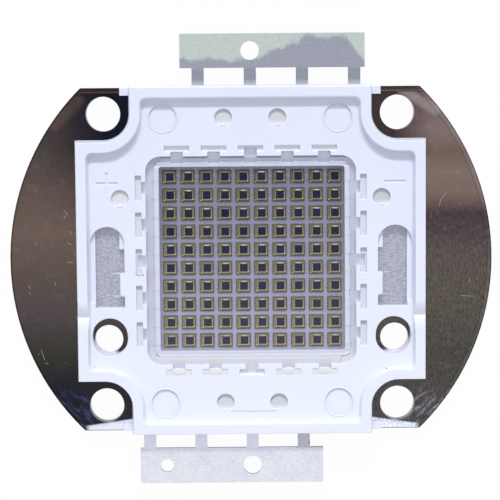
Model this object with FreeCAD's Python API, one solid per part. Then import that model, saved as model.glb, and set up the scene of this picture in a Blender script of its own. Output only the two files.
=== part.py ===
import FreeCAD, Part
import math
import os

from FreeCAD import Vector

# High-power LED array on a round-ended copper base. All lengths are in millimetres.
# The origin is the middle of the base's underside, and the light leaves along +Z.
# The cathode side is +X, the anode side is -X, and the wider part of each lead is a solder tab.

# Chips: each one sits on its own carrier, and ten carriers make a row
chips_in_row = 10
row_count = 10
carrier_length = 1.6
carrier_width = 1.55
carrier_thickness = 0.2
carrier_gap = 0.52
row_gap = 0.57
chip_side = 1.15
chip_thickness = 0.15
chip_shift = 0.08
array_shift_x = 0.12
array_shift_y = 0.15

# Bond wires
wire_width = 0.06
wire_rise = 0.2
wire_inset = 0.1
wire_line = 0.45
wire_over_ring = 0.08

# Copper base plate
base_thickness = 1.5
base_wing = 8.0
base_roll_width = 0.4
base_roll_drop = 0.12
cut_margin = 1.0
recess_depth = 0.9
recess_overhang = 1.05
screw_inset = 3.0
screw_hole_radius = 2.0
screw_seat_radius = 3.0
dowel_hole_radius = 1.65
dowel_shift = 0.05
dowel_drop = 3.87

# Lead sheet
sheet_thickness = 0.4
sheet_gap = 0.3
sheet_cover = 0.2
sheet_split = 0.92
sheet_margin = 0.4
leg_count = 4
leg_pitch = 6.0
leg_width = 1.4
cathode_leg_length = 2.2
anode_leg_length = 2.0
tab_overhang = 6.15
cathode_long_end = 2.07
cathode_short_end = 1.2
anode_long_end = 2.26
anode_short_end = 1.11
tab_hole_radius = 1.075
tab_small_hole_radius = 0.78
tab_small_hole_shift = 10.0

# Moulded frame, from the chip well outwards
well_margin = 0.36
well_corner = 0.3
ring_width = 0.62
ring_height = 0.2
ring_corner = 0.8
ring_edge = 0.1
band_width = 0.78
window_corner = 1.75
stem_length = 0.5
stem_width = 1.4
middle_stem_extra = 0.53
head_width = 2.84
bar_length = 2.9
bar_depth = 0.73
bar_sink = 0.45
slots_on_side = 5
slot_gap = 1.29
slot_width = 3.98
slot_shelf = 0.26
rim_width = 1.14
rim_height = 1.05
floor_depth = 1.05
underside_gap = 0.1
skirt = 0.25
rim_draft = 0.2
rim_corner = 0.75
ear_height = 0.4

# Side slots that bare the lead sheet for soldering
slot_top = 4.05
slot_length = 9.36
slot_step = 0.6
slot_ledge_sink = 0.55
slot_bay_top = 2.63
slot_bay_length = 2.75
slot_tab_length = 2.7
slot_tab_width = 0.5
slot_tab_corner = 0.28
slot_corner = 0.3

# Small moulded details
dowel_clear_radius = 2.05
dowel_clear_shift = 0.27
dowel_cusp_shift = 0.02
dowel_cusp_rise = 0.31
pit_radius = 1.02
pit_side_shift = 3.1
pit_end_gap = 3.17
pit_slot_gap = 3.23
pit_sink = 0.4
pit_slot_shift = 1.55
ejector_radius = 1.75
ejector_sink = 0.22
ejector_shift = 10.05
gate_top = -4.5
gate_shoulder = 1.0
gate_valley = 1.85
gate_length = 3.6
gate_shoulder_dip = 0.2
gate_dip = 0.8
gate_step = 0.22
gate_step_end = 0.06
mark_length = 2.5
mark_width = 0.3
mark_sink = 0.15
mark_height = 9.05
mark_shift = -0.05

# Silicone that fills the window
fill_below_bar = 0.04
channel_clearance = 0.06

# Levels, from the underside up
sheet_bottom = base_thickness + sheet_gap
sheet_top = sheet_bottom + sheet_thickness
ring_top = sheet_top + ring_height
floor_top = sheet_top + floor_depth
bar_floor = floor_top - bar_sink
fill_top = bar_floor - fill_below_bar
rim_top = floor_top + rim_height
carrier_top = base_thickness + carrier_thickness
chip_top = carrier_top + chip_thickness
above_all = rim_top + cut_margin

# Reaches from the middle outwards
chip_pitch = carrier_length + carrier_gap
row_pitch = carrier_width + row_gap
array_reach = max(
    (chips_in_row - 1) * chip_pitch / 2 + carrier_length / 2,
    (row_count - 1) * row_pitch / 2 + carrier_width / 2,
)
well_reach = array_reach + well_margin
ring_reach = well_reach + ring_width
window_reach = ring_reach + band_width
bar_inner = window_reach + stem_length
bar_outer = bar_inner + bar_depth
slot_inner = bar_outer + slot_gap
slot_outer = slot_inner + slot_width
rim_inner = slot_outer + slot_shelf
frame_reach = rim_inner + rim_width
screw_reach = frame_reach - screw_inset
notch_reach = screw_reach - screw_seat_radius - skirt
base_reach = frame_reach
foot_reach = frame_reach + skirt
base_radius = frame_reach + base_wing
sheet_reach = ring_reach - sheet_cover
strap_reach = bar_outer + sheet_margin / 2
pit_end_reach = bar_outer + pit_end_gap
leg_root = pit_end_reach + pit_radius + sheet_margin
first_leg = -leg_pitch
tab_reach = frame_reach + tab_overhang
slot_bottom = slot_top - slot_length
slot_middle = (slot_inner + slot_outer) / 2
pit_slot_reach = slot_top + pit_slot_gap
dowel_reach = slot_middle + dowel_shift
dowel_y = slot_bottom - dowel_drop
t_pitch = head_width + stem_width


def rounded_wire(corners, height):
    """Closed outline through corners given as (x, y, radius), with tangent arcs where it isn't 0."""
    points = [Vector(x, y, height) for x, y, radius in corners]
    arcs = []
    for i, (x, y, radius) in enumerate(corners):
        here = points[i]
        back = (points[i - 1] - here).normalize()
        ahead = (points[(i + 1) % len(points)] - here).normalize()
        half_turn = back.getAngle(ahead) / 2
        reach = radius / math.tan(half_turn)
        inward = (back + ahead).normalize()
        crown = here + inward * (radius / math.sin(half_turn) - radius)
        arcs.append((here + back * reach, crown, here + ahead * reach))
    edges = []
    for i, (start, crown, end) in enumerate(arcs):
        if corners[i][2] > 0:
            edges.append(Part.Arc(start, crown, end).toShape())
        following = arcs[(i + 1) % len(arcs)][0]
        if end.distanceToPoint(following) > 1e-6:
            edges.append(Part.LineSegment(end, following).toShape())
    return Part.Wire(edges)


def rounded_prism(corners, bottom, top):
    face = Part.Face(rounded_wire(corners, bottom))
    return face.extrude(Vector(0, 0, top - bottom))


def block(x_low, x_high, y_low, y_high, bottom, top):
    return Part.makeBox(x_high - x_low, y_high - y_low, top - bottom, Vector(x_low, y_low, bottom))


def peg(x, y, radius, bottom, top):
    return Part.makeCylinder(radius, top - bottom, Vector(x, y, bottom))


def over_array(shape):
    """Moves a shape from the middle of the part to the middle of the light array, which sits off it."""
    copy = shape.copy()
    copy.translate(Vector(array_shift_x, array_shift_y, 0))
    return copy


def turned(shape, degrees):
    copy = shape.copy()
    copy.rotate(Vector(0, 0, 0), Vector(0, 0, 1), degrees)
    return copy


def mirrored(shape):
    return shape.mirror(Vector(0, 0, 0), Vector(1, 0, 0))


def joined(shapes):
    return shapes[0].multiFuse(shapes[1:]).removeSplitter()


def notched_corners(reach, notch, notch_radius, corner_radius):
    """Corners of a square with its four corners cut back, anticlockwise from the +X side."""
    corners = []
    for quarter in range(4):
        angle = quarter * math.pi / 2
        cosine, sine = round(math.cos(angle)), round(math.sin(angle))
        for x, y, radius in (
            (reach, notch, corner_radius),
            (notch, notch, notch_radius),
            (notch, reach, corner_radius),
        ):
            corners.append((x * cosine - y * sine, x * sine + y * cosine, radius))
    return corners


def base_plate():
    """Stamped copper plate: a disc with two flats, whose top edges were rolled by the punch."""
    shoulder = base_thickness - base_roll_drop
    disc = peg(0, 0, base_radius, 0, base_thickness)
    end = -base_radius - cut_margin
    flat_section = Part.makePolygon([
        Vector(end, -base_reach, 0),
        Vector(end, base_reach, 0),
        Vector(end, base_reach, shoulder),
        Vector(end, base_reach - base_roll_width, base_thickness),
        Vector(end, base_roll_width - base_reach, base_thickness),
        Vector(end, -base_reach, shoulder),
        Vector(end, -base_reach, 0),
    ])
    slab = Part.Face(flat_section).extrude(Vector(-2 * end, 0, 0))
    plate = disc.common(slab)
    cutters = []
    recess_reach = screw_reach - screw_seat_radius + recess_overhang
    for side in (1, -1):
        recess = block(-recess_reach, recess_reach, base_reach - recess_depth, base_reach + cut_margin,
                       -cut_margin, above_all)
        cutters.append(turned(recess, 90 - 90 * side))
        cutters.append(peg(side * dowel_reach, dowel_y, dowel_hole_radius, -cut_margin, above_all))
        for end in (1, -1):
            cutters.append(peg(side * screw_reach, end * screw_reach, screw_hole_radius,
                               -cut_margin, above_all))
    return plate.cut(cutters)


def lead_sheet(leg_length, long_end, short_end):
    """Cathode lead before its pad: the strap round two sides of the window, four legs and the tab."""
    tab_inner = frame_reach + leg_length
    last_leg = first_leg + (leg_count - 1) * leg_pitch
    pieces = [
        block(sheet_split - ring_reach, strap_reach, sheet_reach, leg_root, sheet_bottom, sheet_top),
        block(sheet_reach, strap_reach, -ring_reach, leg_root, sheet_bottom, sheet_top),
        block(first_leg - long_end, last_leg + short_end, tab_inner, tab_reach, sheet_bottom, sheet_top),
    ]
    for i in range(leg_count):
        middle = first_leg + i * leg_pitch
        pieces.append(block(middle - leg_width / 2, middle + leg_width / 2, leg_root, tab_inner,
                            sheet_bottom, sheet_top))
    hole = peg(0, (tab_inner + tab_reach) / 2, tab_hole_radius, 0, above_all)
    return joined(pieces).cut(hole)


def lead_pad():
    """Solder pad under the right-hand side slot, wide enough for the pit above the slot."""
    pad_top = pit_slot_reach + pit_radius + sheet_margin
    return block(strap_reach, slot_outer + sheet_margin, slot_bottom - sheet_margin, pad_top,
                 sheet_bottom, sheet_top)


def cathode_lead():
    return joined([lead_sheet(cathode_leg_length, cathode_long_end, cathode_short_end), lead_pad()])


def anode_lead():
    sheet = lead_sheet(anode_leg_length, anode_long_end, anode_short_end)
    lead = joined([turned(sheet, 180), mirrored(lead_pad())])
    tab_middle = (frame_reach + anode_leg_length + tab_reach) / 2
    return lead.cut(peg(-tab_small_hole_shift, -tab_middle, tab_small_hole_radius, 0, above_all))


def t_positions():
    first = -(slots_on_side - 1) * t_pitch / 2
    return [first + i * t_pitch for i in range(slots_on_side)]


def stems(top):
    """Narrow channels from the window out over the lead sheet, five on each side."""
    channels = []
    for i, middle in enumerate(t_positions()):
        extra = middle_stem_extra if i == slots_on_side // 2 else 0
        channels.append(block(middle - stem_width / 2, middle + stem_width / 2,
                              ring_reach, bar_inner + extra, sheet_top, top))
    return [turned(channel, quarter * 90) for quarter in range(4) for channel in channels]


def cross_bars():
    """Shallow bars that end the stems, so that hammer-headed fingers stand between them."""
    bars = [block(middle - bar_length / 2, middle + bar_length / 2, bar_inner, bar_outer,
                  bar_floor, above_all) for middle in t_positions()]
    return [turned(bar, quarter * 90) for quarter in range(4) for bar in bars]


def square_corners(reach, radius):
    return [(-reach, -reach, radius), (reach, -reach, radius), (reach, reach, radius), (-reach, reach, radius)]


def window_space(top):
    """Open space of the chip well and window, up to a level: over the ring and out along the stems."""
    window = rounded_prism(square_corners(window_reach, window_corner), sheet_top, top)
    ring = over_array(rounded_prism(square_corners(ring_reach, ring_corner), base_thickness, ring_top))
    well = over_array(rounded_prism(square_corners(well_reach, well_corner), base_thickness, ring_top))
    return joined([window.cut(ring), well] + stems(top))


def ring_easing():
    """What the mould takes off the inner edge of the ring, as a small slope."""
    slope = Part.makeLoft(
        [rounded_wire(square_corners(well_reach, well_corner), ring_top - ring_edge),
         rounded_wire(square_corners(well_reach + ring_edge, well_corner + ring_edge), ring_top)],
        True, True)
    return over_array(slope)


def side_slot():
    """Right-hand solder slot: a round-topped pocket with a deeper window in its floor."""
    arch_radius = slot_width / 2
    arch_spring = slot_top - arch_radius
    pocket_bottom = floor_top - slot_ledge_sink
    pocket = block(slot_inner, slot_outer - slot_step, slot_bottom, arch_spring, pocket_bottom, above_all)
    ledge = block(slot_outer - slot_step, slot_outer, slot_bottom + slot_step, arch_spring,
                  pocket_bottom, above_all)
    arch = peg(slot_middle, arch_spring, arch_radius, pocket_bottom, above_all)
    opening = rounded_prism(
        [
            (slot_inner + slot_step, slot_bottom, 0),
            (slot_outer - slot_step, slot_bottom, slot_corner),
            (slot_outer - slot_step, slot_top, 0),
            (slot_inner + slot_step, slot_top, 0),
        ],
        sheet_top, above_all)
    round_end = block(slot_inner, slot_outer, slot_bottom, arch_spring, sheet_top, above_all).fuse(
        peg(slot_middle, arch_spring, arch_radius, sheet_top, above_all))
    deep = opening.common(round_end)
    bay_top = slot_top - slot_bay_top
    tab_top = bay_top - slot_bay_length
    upper_bay = block(slot_inner, slot_middle, tab_top, bay_top, sheet_top, above_all)
    lower_bay = block(slot_inner, slot_middle, slot_bottom, tab_top - slot_tab_length,
                      sheet_top, above_all)
    tab = rounded_prism(
        [
            (slot_inner - cut_margin, tab_top - slot_tab_length, slot_tab_corner),
            (slot_inner + slot_tab_width, tab_top - slot_tab_length, slot_tab_corner),
            (slot_inner + slot_tab_width, tab_top, slot_tab_corner),
            (slot_inner - cut_margin, tab_top, slot_tab_corner),
        ],
        sheet_top, above_all)
    slot = joined([pocket, ledge, arch, deep, upper_bay, lower_bay])
    return slot.cut(tab)


def pits():
    """Round marks of the mould's pins, above the lead sheets."""
    places = [(x, y) for x in (-pit_side_shift, pit_side_shift) for y in (-pit_end_reach, pit_end_reach)]
    places += [(side * (slot_middle - pit_slot_shift), pit_slot_reach) for side in (-1, 1)]
    return [peg(x, y, pit_radius, floor_top - pit_sink, above_all) for x, y in places]


def ejector_marks():
    return [peg(x, y, ejector_radius, floor_top - ejector_sink, above_all)
            for x in (-ejector_shift, ejector_shift) for y in (-pit_end_reach, pit_end_reach)]


def polarity_marks():
    """Engraved plus beside the anode slot and minus beside the cathode slot."""
    half, thin = mark_length / 2, mark_width / 2
    bottom = floor_top - mark_sink
    x = slot_middle + mark_shift
    return [
        block(-x - half, -x + half, mark_height - thin, mark_height + thin, bottom, above_all),
        block(-x - thin, -x + thin, mark_height - half, mark_height + half, bottom, above_all),
        block(x - half, x + half, mark_height - thin, mark_height + thin, bottom, above_all),
    ]


def gate_scoop():
    """Where the plastic was fed in: a step in the outer wall, and above it a dip in the rim."""
    low = gate_top - gate_length
    outside = foot_reach + cut_margin
    step_outline = Part.makePolygon([
        Vector(foot_reach - gate_step, gate_top, base_thickness),
        Vector(foot_reach - gate_step_end, low, base_thickness),
        Vector(outside, low, base_thickness),
        Vector(outside, gate_top, base_thickness),
        Vector(foot_reach - gate_step, gate_top, base_thickness),
    ])
    step = Part.Face(step_outline).extrude(Vector(0, 0, above_all - base_thickness))
    inside = rim_inner - cut_margin
    dip_outline = Part.makePolygon([
        Vector(inside, gate_top, rim_top),
        Vector(inside, gate_top - gate_shoulder, rim_top - gate_shoulder_dip),
        Vector(inside, gate_top - gate_valley, rim_top - gate_dip),
        Vector(inside, low, rim_top),
        Vector(inside, low, above_all),
        Vector(inside, gate_top, above_all),
        Vector(inside, gate_top, rim_top),
    ])
    dip = Part.Face(dip_outline).extrude(Vector(outside - inside, 0, 0))
    return step.fuse(dip)


def ears():
    """Plastic that fills the ends of the base's edge recesses, beside the corner notches."""
    low, high = notch_reach, screw_reach - screw_seat_radius + recess_overhang
    pieces = []
    for side in (0, 180):
        for x_low, x_high in ((low, high), (-high, -low)):
            ear = block(x_low, x_high, base_reach - recess_depth, base_reach, underside_gap,
                        base_thickness + ear_height)
            pieces.append(turned(ear, side))
    return pieces


def rim_hollow():
    """Space inside the raised rim, wider at its mouth than at the sunken floor."""
    notch = notch_reach - rim_width
    notch_radius = screw_seat_radius + skirt + rim_width
    foot = notched_corners(rim_inner - rim_draft, notch - rim_draft, notch_radius + rim_draft, rim_corner)
    mouth = notched_corners(rim_inner, notch, notch_radius, rim_corner)
    return Part.makeLoft([rounded_wire(foot, floor_top), rounded_wire(mouth, rim_top)], True, True)


def moulded_frame(base, leads):
    """White moulding round the base and both leads, with its floor sunk inside a raised rim."""
    foot_outline = notched_corners(foot_reach, notch_reach + skirt, screw_seat_radius, 0)
    top_outline = notched_corners(frame_reach, notch_reach, screw_seat_radius + skirt, 0)
    foot = rounded_prism(foot_outline, underside_gap, sheet_top)
    upper = Part.makeLoft([rounded_wire(foot_outline, sheet_top),
                           rounded_wire(top_outline, rim_top)], True, True)
    solid = joined([foot, upper] + ears()).cut(rim_hollow())
    cutters = [window_space(above_all), ring_easing(), side_slot(), mirrored(side_slot()),
               gate_scoop(), mirrored(gate_scoop())]
    cutters += cross_bars() + pits() + ejector_marks() + polarity_marks()
    for side in (-1, 1):
        clear_x, clear_y = dowel_reach - dowel_clear_shift, dowel_y + dowel_clear_shift
        cutters.append(peg(side * clear_x, clear_y, dowel_clear_radius, base_thickness, above_all))
        cutters.append(peg(side * (clear_x + dowel_cusp_shift), clear_y + dowel_cusp_rise,
                           dowel_clear_radius, base_thickness, above_all))
        cutters.append(peg(side * dowel_reach, dowel_y, dowel_hole_radius, 0, above_all))
    return solid.cut(cutters).cut([base] + leads)


def carrier_places(row):
    y = ((row_count - 1) / 2 - row) * row_pitch
    first = -(chips_in_row - 1) * chip_pitch / 2
    return [(first + i * chip_pitch, y) for i in range(chips_in_row)]


def carriers(row):
    half_length, half_width = carrier_length / 2, carrier_width / 2
    return Part.makeCompound([
        block(x - half_length, x + half_length, y - half_width, y + half_width,
              base_thickness, carrier_top) for x, y in carrier_places(row)])


def chips(row):
    half = chip_side / 2
    return Part.makeCompound([
        block(x + chip_shift - half, x + chip_shift + half, y - half, y + half,
              carrier_top, chip_top) for x, y in carrier_places(row)])


def bond_wire(start, bends, end, y):
    """One wire from left to right in the XZ plane, raised over the bends and thin where it is bonded."""
    low = [start] + bends + [end]
    high = [(x, z + wire_width) for x, z in reversed(bends)]
    outline = [Vector(x, y - wire_width / 2, z) for x, z in low + high]
    return Part.Face(Part.makePolygon(outline + outline[:1])).extrude(Vector(0, wire_width, 0))


def bond_wires(row):
    """Eleven wires that join a row in series, from the anode band to the cathode band."""
    places = carrier_places(row)
    y = places[0][1] - wire_line
    over_ring = ring_top + wire_over_ring
    landing = -carrier_length / 2 + 2 * wire_inset
    chip_edge = chip_shift + chip_side / 2 - 2 * wire_inset
    foot = ring_reach + 3 * wire_inset
    first, last = places[0][0], places[-1][0]
    wires = [
        bond_wire((-foot, sheet_top),
                  [(-ring_reach - wire_inset, over_ring), (-well_reach + wire_inset, over_ring)],
                  (first + landing, carrier_top), y),
        bond_wire((last + chip_edge, chip_top),
                  [(well_reach - wire_inset, over_ring), (ring_reach + wire_inset, over_ring)],
                  (foot, sheet_top), y),
    ]
    for (x, unused), (following, unused) in zip(places, places[1:]):
        start = (x + chip_edge, chip_top)
        end = (following + landing, carrier_top)
        middle = ((start[0] + end[0]) / 2, chip_top + wire_rise)
        wires.append(bond_wire(start, [middle], end, y))
    return Part.makeCompound(wires)


def row_channel(row):
    """Space kept for a row of chips and its wires, from the left band over the well to the right one."""
    y = carrier_places(row)[0][1]
    half = carrier_width / 2 + channel_clearance
    reach = ring_reach + 3 * wire_inset + channel_clearance
    top = ring_top + wire_over_ring + wire_width + channel_clearance
    return block(-reach, reach, y - half, y + half, base_thickness, top)


def encapsulant():
    """Clear silicone in the well, the window and the stems."""
    channels = [over_array(row_channel(row)) for row in range(row_count)]
    return window_space(fill_top).cut(channels)


def write(name, shape):
    shape.exportStep("parts/" + name + ".step")
    print(name, len(shape.Solids), "solids", round(shape.Volume, 3), "mm3", "valid", shape.isValid())


def main():
    os.makedirs("parts", exist_ok=True)
    base = base_plate()
    cathode = cathode_lead()
    anode = anode_lead()
    write("base_plate", base)
    write("cathode_lead", cathode)
    write("anode_lead", anode)
    write("moulded_frame", moulded_frame(base, [cathode, anode]))
    write("encapsulant", encapsulant())
    for row in range(row_count):
        number = "%02d" % (row + 1)
        write("carrier_row_" + number, over_array(carriers(row)))
        write("chip_row_" + number, over_array(chips(row)))
        write("bond_wire_row_" + number, over_array(bond_wires(row)))


main()
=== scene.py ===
import math
from functools import partial

import bpy
from mathutils import Matrix, Vector


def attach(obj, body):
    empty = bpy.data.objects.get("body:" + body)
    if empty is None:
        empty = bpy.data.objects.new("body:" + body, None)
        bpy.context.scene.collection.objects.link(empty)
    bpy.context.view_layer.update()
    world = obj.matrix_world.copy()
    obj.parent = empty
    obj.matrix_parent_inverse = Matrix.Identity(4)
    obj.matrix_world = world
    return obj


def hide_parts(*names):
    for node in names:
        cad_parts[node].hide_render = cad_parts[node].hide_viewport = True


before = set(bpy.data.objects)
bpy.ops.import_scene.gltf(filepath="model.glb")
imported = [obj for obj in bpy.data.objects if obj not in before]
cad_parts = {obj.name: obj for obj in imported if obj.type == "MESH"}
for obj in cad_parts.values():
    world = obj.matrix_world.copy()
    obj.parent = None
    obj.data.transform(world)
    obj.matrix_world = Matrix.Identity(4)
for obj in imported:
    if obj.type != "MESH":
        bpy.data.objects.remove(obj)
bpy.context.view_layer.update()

mm = 0.001
white = (1.0, 1.0, 1.0)
flatten = (1.0, 1.0, 0.0)

# Layout of the light array, as the solids have it
layout = {
    "chipsInRow": 10,
    "rows": 10,
    "pitch": 2.12 * mm,
    "carrierLength": 1.6 * mm,
    "carrierWidth": 1.55 * mm,
    "carrierBottom": 1.5 * mm,
    "carrierTop": 1.7 * mm,
    "chipSide": 1.15 * mm,
    "chipTop": 1.85 * mm,
    "chipShift": 0.08 * mm,
    "arrayX": 0.12 * mm,
    "arrayY": 0.15 * mm,
    "wellReach": 10.7 * mm,
    "ringReach": 11.32 * mm,
    "ringTop": 2.4 * mm,
    "sheetTop": 2.2 * mm,
    "windowReach": 12.1 * mm,
    "fillTop": 2.76 * mm,
    "floorTop": 3.25 * mm,
    "barFloor": 2.8 * mm,
    "tPitch": 4.24 * mm,
    "stemWidth": 1.4 * mm,
    "legEnd": 22.1 * mm,
}

# How meshes are cleaned up, with angles in degrees
meshCare = {
    "mergeGap": 0.002 * mm,
    "flatAngle": 0.4,
    "roundAngle": 50,
    "bevelAngle": 38,
    "edgeSegments": 2,
    "upward": 0.9,
    "hair": 0.01 * mm,
}


def deselectAll():
    bpy.ops.object.select_all(action="DESELECT")


def makeActive(piece):
    deselectAll()
    piece.select_set(True)
    bpy.context.view_layer.objects.active = piece


def selectTogether(pieces):
    deselectAll()
    for piece in pieces:
        piece.select_set(True)
    bpy.context.view_layer.objects.active = pieces[0]


def linked(data, name):
    piece = bpy.data.objects.new(name, data)
    bpy.context.scene.collection.objects.link(piece)
    return piece


def selectFaces(piece, test):
    # faces are picked in object mode, so edit mode sees only them
    bpy.ops.object.mode_set(mode="OBJECT")
    for kind in (piece.data.vertices, piece.data.edges):
        for part in kind:
            part.select = False
    for face in piece.data.polygons:
        face.select = test(face)
    bpy.context.tool_settings.mesh_select_mode = (False, False, True)
    bpy.ops.object.mode_set(mode="EDIT")


def facesUp(face):
    return face.normal.z > meshCare["upward"]


def applyModifiers(piece):
    makeActive(piece)
    for modifier in list(piece.modifiers):
        bpy.ops.object.modifier_apply(modifier=modifier.name)


def bevelEdges(piece, width, segments, **settings):
    bevel = piece.modifiers.new("edges", "BEVEL")
    bevel.width = width
    bevel.segments = segments
    for name, value in settings.items():
        setattr(bevel, name, value)
    applyModifiers(piece)


def dress(piece, material):
    piece.data.materials.clear()
    piece.data.materials.append(material)


def finishPiece(piece, nodes):
    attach(piece, "root")
    if nodes:
        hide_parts(*nodes)


def joinPieces(pieces, name):
    selectTogether(pieces)
    bpy.ops.object.join()
    whole = bpy.context.view_layer.objects.active
    whole.name = name
    whole.data.name = name
    return whole


def finishSmooth(piece, nodes):
    makeActive(piece)
    bpy.ops.object.shade_smooth()
    finishPiece(piece, nodes)


def finishJoined(pieces, name, nodes):
    finishSmooth(joinPieces(pieces, name), nodes)


def settleActive(size=None, material=None):
    # the shape just added gets its size and material, and its place goes into its mesh
    piece = bpy.context.active_object
    if size:
        piece.scale = size
    makeActive(piece)
    bpy.ops.object.transform_apply(location=True, rotation=True, scale=True)
    if material:
        piece.data.materials.append(material)
    return piece


def addSphere(segments, radius, place, size, material):
    around, rings = segments
    bpy.ops.mesh.primitive_uv_sphere_add(segments=around, ring_count=rings, radius=radius, location=place)
    return settleActive(size, material)


def addBox(centre, size):
    bpy.ops.mesh.primitive_cube_add(size=1, location=centre)
    return settleActive(size)


def settleNormals(piece):
    # each flat face keeps one direction, however thin its triangles, and rounded edges run smoothly into it
    mesh = piece.data
    faces = mesh.polygons
    leaders = list(range(len(faces)))
    flatShare = math.cos(math.radians(meshCare["flatAngle"]))
    roundShare = math.cos(math.radians(meshCare["roundAngle"]))

    def leaderOf(index):
        while leaders[index] != index:
            leaders[index] = leaders[leaders[index]]
            index = leaders[index]
        return index

    sharing = {}
    for face in faces:
        for key in face.edge_keys:
            sharing.setdefault(key, []).append(face.index)
    for pair in sharing.values():
        if len(pair) == 2 and faces[pair[0]].normal.dot(faces[pair[1]].normal) > flatShare:
            leaders[leaderOf(pair[0])] = leaderOf(pair[1])
    areas = {}
    around = {}
    for face in faces:
        leader = leaderOf(face.index)
        areas[leader] = areas.get(leader, 0) + face.area
        for vertex in face.vertices:
            around.setdefault(vertex, set()).add(leader)
    normals = []
    for face in faces:
        for vertex in face.vertices:
            total = Vector()
            for leader in around[vertex]:
                if faces[leader].normal.dot(face.normal) > roundShare:
                    total += faces[leader].normal * areas[leader]
            normals.append(total.normalized())
    mesh.normals_split_custom_set(normals)


def smoothSettled(piece):
    makeActive(piece)
    bpy.ops.object.shade_smooth()
    settleNormals(piece)


def mergedCopy(nodeName, pieceName):
    piece = linked(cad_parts[nodeName].data.copy(), pieceName)
    makeActive(piece)
    bpy.ops.object.mode_set(mode="EDIT")
    bpy.ops.mesh.select_all(action="SELECT")
    bpy.ops.mesh.remove_doubles(threshold=meshCare["mergeGap"])
    bpy.ops.object.mode_set(mode="OBJECT")
    return piece


def easedCopy(nodeName, pieceName, look, material):
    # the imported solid, merged, with the small rounding that moulding or stamping leaves
    piece = mergedCopy(nodeName, pieceName)
    bevelEdges(
        piece, look["edgeWidth"], meshCare["edgeSegments"], limit_method="ANGLE", use_clamp_overlap=False,
        angle_limit=math.radians(meshCare["bevelAngle"]), miter_outer="MITER_SHARP")
    smoothSettled(piece)
    dress(piece, material)
    finishPiece(piece, [nodeName])


# Shader nodes. Colours are red, green and blue, and lengths in spans are millimetres


def srgb(red, green, blue):
    # a colour as it is read on a screen, turned into the shader's own values
    channels = []
    for channel in (red, green, blue):
        share = channel / 255
        channels.append(share / 12.92 if share <= 0.04045 else ((share + 0.055) / 1.055) ** 2.4)
    return tuple(channels)


def grey(level):
    return (level, level, level)


def feed(socket, value):
    # another node's output is linked, and a constant is set on the socket itself
    if isinstance(value, bpy.types.NodeSocket):
        socket.id_data.links.new(value, socket)
    elif socket.type == "RGBA":
        socket.default_value = (*value, 1.0)
    else:
        socket.default_value = value


def newNode(tree, kind, inputs, **settings):
    node = tree.nodes.new("ShaderNode" + kind)
    for name, value in settings.items():
        setattr(node, name, value)
    for name, value in inputs.items():
        feed(node.inputs[name], value)
    return node


def treeOf(values):
    return next(value.id_data for value in values if isinstance(value, bpy.types.NodeSocket))


def mathNode(operation, *values):
    return newNode(treeOf(values), "Math", dict(enumerate(values)), operation=operation).outputs[0]


def times(first, second, *others):
    product = mathNode("MULTIPLY", first, second)
    for other in others:
        product = mathNode("MULTIPLY", product, other)
    return product


plus = partial(mathNode, "ADD")
minus = partial(mathNode, "SUBTRACT")
larger = partial(mathNode, "MAXIMUM")
above = partial(mathNode, "GREATER_THAN")
under = partial(mathNode, "LESS_THAN")
absOf = partial(mathNode, "ABSOLUTE")


def diagonal(first, second):
    return mathNode("SQRT", plus(times(first, first), times(second, second)))


def vectorMath(operation, *values):
    node = newNode(treeOf(values), "VectorMath", dict(enumerate(values)), operation=operation)
    return node.outputs["Value" if operation in ("DISTANCE", "DOT_PRODUCT", "LENGTH") else "Vector"]


def scaled(vector, factor):
    return newNode(vector.id_data, "VectorMath", {0: vector, "Scale": factor}, operation="SCALE").outputs[0]


def noiseNode(coords, scale, detail, rough):
    inputs = {"Vector": coords, "Scale": scale, "Detail": detail, "Roughness": rough}
    return newNode(coords.id_data, "TexNoise", inputs).outputs["Fac"]


def span(value, limits, unit=mm):
    # runs from 0 at the first limit to 1 at the second
    inputs = {"Value": value, "From Min": limits[0] * unit, "From Max": limits[1] * unit}
    return newNode(value.id_data, "MapRange", inputs).outputs["Result"]


def ramp(value, stops):
    node = newNode(value.id_data, "ValToRGB", {"Fac": value})
    elements = node.color_ramp.elements
    while len(elements) < len(stops):
        elements.new(0.5)
    for element, (place, colour) in zip(elements, stops):
        element.position = place
        element.color = (*colour, 1.0)
    return node.outputs["Color"]


def mix(factor, first, second, blend="MIX"):
    inputs = {0: factor, 6: first, 7: second}
    return newNode(treeOf(inputs.values()), "Mix", inputs, data_type="RGBA", blend_type=blend).outputs[2]


def tint(first, second):
    return mix(1.0, first, second, "MULTIPLY")


def bumpFrom(height, strength, distance):
    inputs = {"Height": height, "Strength": strength, "Distance": distance}
    return newNode(height.id_data, "Bump", inputs).outputs["Normal"]


def objectCoords(tree):
    return newNode(tree, "TexCoord", {}).outputs["Object"]


def objectAxes(tree):
    return newNode(tree, "SeparateXYZ", {0: objectCoords(tree)}).outputs


# Shared shader effects

effects = {
    "grainDetail": (3, 0.6),
    "cloudDetail": (2, 0.5),
    "speckSharpness": 3.0,
    "strokeFade": 1.6,
    "warpScale": 260.0,
    "warpReach": 1.6 * mm,
    "scratchScale": 420.0,
    "scratchWidth": 0.02,
    "scratchMask": (700.0, 2, 0.5),
    "dustScale": 1000.0,
    "dustSize": 0.07,
}


def newGroup(name, inputs, outputs):
    group = bpy.data.node_groups.new(name, "ShaderNodeTree")
    for socketName, value in inputs.items():
        kind = "NodeSocketVector" if isinstance(value, tuple) else "NodeSocketFloat"
        group.interface.new_socket(name=socketName, in_out="INPUT", socket_type=kind).default_value = value
    for socketName in outputs:
        group.interface.new_socket(name=socketName, in_out="OUTPUT", socket_type="NodeSocketFloat")
    entry = group.nodes.new("NodeGroupInput")
    leave = group.nodes.new("NodeGroupOutput")
    return group, entry.outputs, leave.inputs, objectCoords(group)


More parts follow.
